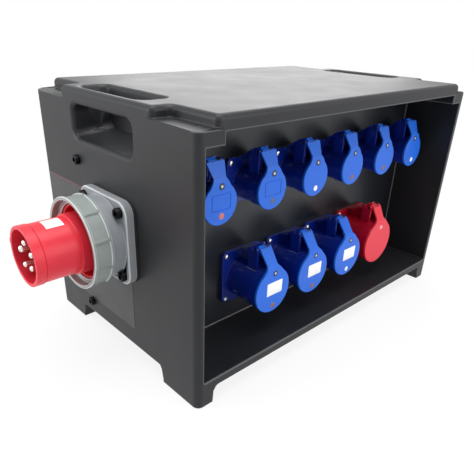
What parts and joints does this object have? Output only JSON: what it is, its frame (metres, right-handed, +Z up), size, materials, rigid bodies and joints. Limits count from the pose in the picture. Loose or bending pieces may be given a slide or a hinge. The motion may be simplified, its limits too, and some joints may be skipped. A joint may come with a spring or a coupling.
{
  "type": "portable power distribution box",
  "caption": "Portable power distribution box: black moulded sleeve case with carry handles and stacking feet, sprung-lid sockets in front, a pin inlet at one end and breakers at the rear.",
  "frame": {"origin": "on the ground under the middle of the case, between the four feet", "axes": "+Z up; the socket side faces -Y; +X to the right of someone who faces the sockets, with the inlet at -X"},
  "size_m": [0.7295, 0.374, 0.3735],
  "materials": {
    "moulded_case": "black moulded polyethylene, fine matt skin",
    "black_sheet": "black plastic sheet, fine grain",
    "black_coated_metal": "black powder coat",
    "black_screws": "blackened steel",
    "zinc_screws": "bright zinc plate",
    "steel": "drawn steel",
    "insert_plastic": "grey thermoplastic",
    "brass": "machined",
    "black_rubber": "smooth rubber",
    "grey_plastic": "light grey moulding",
    "ring_plastic": "light grey moulding",
    "red_shroud": "red moulding",
    "red_carrier": "dark red moulding",
    "plated_pins": "nickel plate",
    "blue_socket": "glossy blue moulding",
    "blue_lid": "satin blue moulding",
    "red_socket": "glossy red moulding",
    "red_lid": "satin red moulding",
    "black_frame": "black moulding",
    "clear_window": "clear polycarbonate",
    "device_plastic": "light grey moulding",
    "lever_plastic": "black moulding",
    "button_plastic": "yellow moulding",
    "zinc_rail": "passivated zinc plate",
    "loom_sleeve": "braided sleeve"
  },
  "bodies": {
    "case": {"case_shell": "moulded_case", "front_panel": "black_sheet", "rear_panel": "black_coated_metal", "side_screws": "black_screws", "inlet_screws": "black_screws", "socket_screws": "zinc_screws", "lid_hinge_pins": "steel", "lid_springs": "steel", "window_hinge_pins": "steel", "socket_inserts": "insert_plastic", "socket_contacts": "brass", "socket_gaskets": "black_rubber", "inlet_gasket": "black_rubber", "inlet_housing": "grey_plastic", "inlet_shroud": "red_shroud", "inlet_carrier": "red_carrier", "inlet_pins": "plated_pins", "window_frame": "black_frame", "rcd_body": "device_plastic", "breaker_4p_body": "device_plastic", "breaker_bodies": "device_plastic", "din_rail": "zinc_rail", "rail_brackets": "zinc_rail", "wiring_loom": "loom_sleeve", "socket_body_1": "blue_socket", "socket_body_2": "blue_socket", "socket_body_3": "blue_socket", "socket_body_4": "blue_socket", "socket_body_5": "blue_socket", "socket_body_6": "blue_socket", "socket_body_7": "blue_socket", "socket_body_8": "blue_socket", "socket_body_9": "blue_socket", "socket_body_10": "red_socket"},
    "socket_lid_1": {"socket_lid_1": "blue_lid"},
    "socket_lid_2": {"socket_lid_2": "blue_lid"},
    "socket_lid_3": {"socket_lid_3": "blue_lid"},
    "socket_lid_4": {"socket_lid_4": "blue_lid"},
    "socket_lid_5": {"socket_lid_5": "blue_lid"},
    "socket_lid_6": {"socket_lid_6": "blue_lid"},
    "socket_lid_7": {"socket_lid_7": "blue_lid"},
    "socket_lid_8": {"socket_lid_8": "blue_lid"},
    "socket_lid_9": {"socket_lid_9": "blue_lid"},
    "socket_lid_10": {"socket_lid_10": "red_lid"},
    "inlet_ring": {"inlet_ring": "ring_plastic"},
    "window_cover": {"window_cover": "clear_window"},
    "rcd_lever": {"rcd_lever": "lever_plastic"},
    "breaker_4p_lever": {"breaker_4p_lever": "lever_plastic"},
    "breaker_lever_1": {"breaker_lever_1": "lever_plastic"},
    "breaker_lever_2": {"breaker_lever_2": "lever_plastic"},
    "breaker_lever_3": {"breaker_lever_3": "lever_plastic"},
    "breaker_lever_4": {"breaker_lever_4": "lever_plastic"},
    "breaker_lever_5": {"breaker_lever_5": "lever_plastic"},
    "breaker_lever_6": {"breaker_lever_6": "lever_plastic"},
    "breaker_lever_7": {"breaker_lever_7": "lever_plastic"},
    "breaker_lever_8": {"breaker_lever_8": "lever_plastic"},
    "breaker_lever_9": {"breaker_lever_9": "lever_plastic"},
    "rcd_test_button": {"rcd_test_button": "button_plastic"}
  },
  "joints": [
    {"name": "lid_1_hinge", "type": "hinge", "parent": "case", "child": "socket_lid_1", "pos_m": [-0.23, -0.128, 0.307], "axis": [-1, 0, 0], "range_deg": [0, 100], "stiffness_Nm_per_rad": 0.06, "springref_deg": -45.84},
    {"name": "lid_2_hinge", "type": "hinge", "parent": "case", "child": "socket_lid_2", "pos_m": [-0.138, -0.128, 0.307], "axis": [-1, 0, 0], "range_deg": [0, 100], "stiffness_Nm_per_rad": 0.06, "springref_deg": -45.84},
    {"name": "lid_3_hinge", "type": "hinge", "parent": "case", "child": "socket_lid_3", "pos_m": [-0.046, -0.128, 0.307], "axis": [-1, 0, 0], "range_deg": [0, 100], "stiffness_Nm_per_rad": 0.06, "springref_deg": -45.84},
    {"name": "lid_4_hinge", "type": "hinge", "parent": "case", "child": "socket_lid_4", "pos_m": [0.046, -0.128, 0.307], "axis": [-1, 0, 0], "range_deg": [0, 100], "stiffness_Nm_per_rad": 0.06, "springref_deg": -45.84},
    {"name": "lid_5_hinge", "type": "hinge", "parent": "case", "child": "socket_lid_5", "pos_m": [0.138, -0.128, 0.307], "axis": [-1, 0, 0], "range_deg": [0, 100], "stiffness_Nm_per_rad": 0.06, "springref_deg": -45.84},
    {"name": "lid_6_hinge", "type": "hinge", "parent": "case", "child": "socket_lid_6", "pos_m": [0.23, -0.128, 0.307], "axis": [-1, 0, 0], "range_deg": [0, 100], "stiffness_Nm_per_rad": 0.06, "springref_deg": -45.84},
    {"name": "lid_7_hinge", "type": "hinge", "parent": "case", "child": "socket_lid_7", "pos_m": [-0.138, -0.135, 0.1695], "axis": [-1, 0, 0], "range_deg": [0, 100], "stiffness_Nm_per_rad": 0.06, "springref_deg": -45.84},
    {"name": "lid_8_hinge", "type": "hinge", "parent": "case", "child": "socket_lid_8", "pos_m": [-0.046, -0.135, 0.1695], "axis": [-1, 0, 0], "range_deg": [0, 100], "stiffness_Nm_per_rad": 0.06, "springref_deg": -45.84},
    {"name": "lid_9_hinge", "type": "hinge", "parent": "case", "child": "socket_lid_9", "pos_m": [0.046, -0.135, 0.1695], "axis": [-1, 0, 0], "range_deg": [0, 100], "stiffness_Nm_per_rad": 0.06, "springref_deg": -45.84},
    {"name": "lid_10_hinge", "type": "hinge", "parent": "case", "child": "socket_lid_10", "pos_m": [0.138, -0.141, 0.1725], "axis": [-1, 0, 0], "range_deg": [0, 100], "stiffness_Nm_per_rad": 0.06, "springref_deg": -45.84},
    {"name": "ring_turn", "type": "hinge", "parent": "case", "child": "inlet_ring", "pos_m": [-0.34, -0.0075, 0.195], "axis": [-1, 0, 0], "range_deg": [0, 40]},
    {"name": "window_hinge", "type": "hinge", "parent": "case", "child": "window_cover", "pos_m": [0, 0.109, 0.2684], "axis": [1, 0, 0], "range_deg": [0, 110]},
    {"name": "rcd_toggle", "type": "hinge", "parent": "case", "child": "rcd_lever", "pos_m": [-0.144, 0.095, 0.2195], "axis": [-1, 0, 0], "range_deg": [0, 60]},
    {"name": "breaker_4p_toggle", "type": "hinge", "parent": "case", "child": "breaker_4p_lever", "pos_m": [-0.045, 0.095, 0.2195], "axis": [-1, 0, 0], "range_deg": [0, 60]},
    {"name": "breaker_toggle_1", "type": "hinge", "parent": "case", "child": "breaker_lever_1", "pos_m": [0, 0.095, 0.2195], "axis": [-1, 0, 0], "range_deg": [0, 60]},
    {"name": "breaker_toggle_2", "type": "hinge", "parent": "case", "child": "breaker_lever_2", "pos_m": [0.018, 0.095, 0.2195], "axis": [-1, 0, 0], "range_deg": [0, 60]},
    {"name": "breaker_toggle_3", "type": "hinge", "parent": "case", "child": "breaker_lever_3", "pos_m": [0.036, 0.095, 0.2195], "axis": [-1, 0, 0], "range_deg": [0, 60]},
    {"name": "breaker_toggle_4", "type": "hinge", "parent": "case", "child": "breaker_lever_4", "pos_m": [0.054, 0.095, 0.2195], "axis": [-1, 0, 0], "range_deg": [0, 60]},
    {"name": "breaker_toggle_5", "type": "hinge", "parent": "case", "child": "breaker_lever_5", "pos_m": [0.072, 0.095, 0.2195], "axis": [-1, 0, 0], "range_deg": [0, 60]},
    {"name": "breaker_toggle_6", "type": "hinge", "parent": "case", "child": "breaker_lever_6", "pos_m": [0.09, 0.095, 0.2195], "axis": [-1, 0, 0], "range_deg": [0, 60]},
    {"name": "breaker_toggle_7", "type": "hinge", "parent": "case", "child": "breaker_lever_7", "pos_m": [0.108, 0.095, 0.2195], "axis": [-1, 0, 0], "range_deg": [0, 60]},
    {"name": "breaker_toggle_8", "type": "hinge", "parent": "case", "child": "breaker_lever_8", "pos_m": [0.126, 0.095, 0.2195], "axis": [-1, 0, 0], "range_deg": [0, 60]},
    {"name": "breaker_toggle_9", "type": "hinge", "parent": "case", "child": "breaker_lever_9", "pos_m": [0.144, 0.095, 0.2195], "axis": [-1, 0, 0], "range_deg": [0, 60]},
    {"name": "test_button_press", "type": "slide", "parent": "case", "child": "rcd_test_button", "axis": [0, -1, 0], "range_m": [0, 0.002], "stiffness_N_per_m": 300, "springref_m": -0.003}
  ]
}
